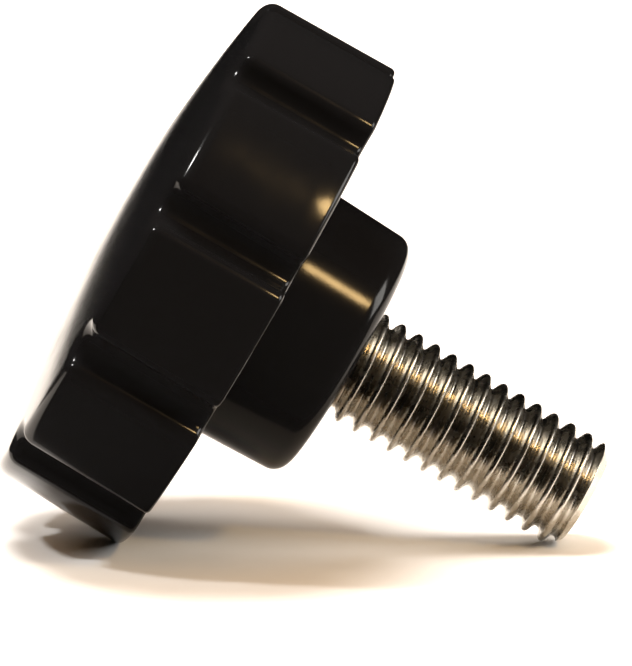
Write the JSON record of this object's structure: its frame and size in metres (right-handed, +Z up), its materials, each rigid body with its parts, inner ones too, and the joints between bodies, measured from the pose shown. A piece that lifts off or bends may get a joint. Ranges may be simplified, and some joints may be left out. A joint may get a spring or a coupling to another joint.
{
  "type": "star knob screw",
  "caption": "Star knob screw: a lobed black moulded hand knob with a round hub and a right-hand threaded steel stud, lying at rest.",
  "frame": {"origin": "centre of the bounding box's bottom face, on the surface the part lies on", "axes": "+Z up; +X level, from the head toward the stud's end, with the stud's axis 29.7 degrees below it; +Y level, across the part"},
  "size_m": [0.0496, 0.044, 0.0434],
  "materials": {
    "black_plastic": "moulded black plastic with a glossy, faintly uneven surface",
    "zinc_plated_steel": "bright zinc plating, slightly warm, with rolled thread flanks"
  },
  "bodies": {
    "root": {"knob_head": "black_plastic", "threaded_stud": "zinc_plated_steel"}
  },
  "joints": []
}
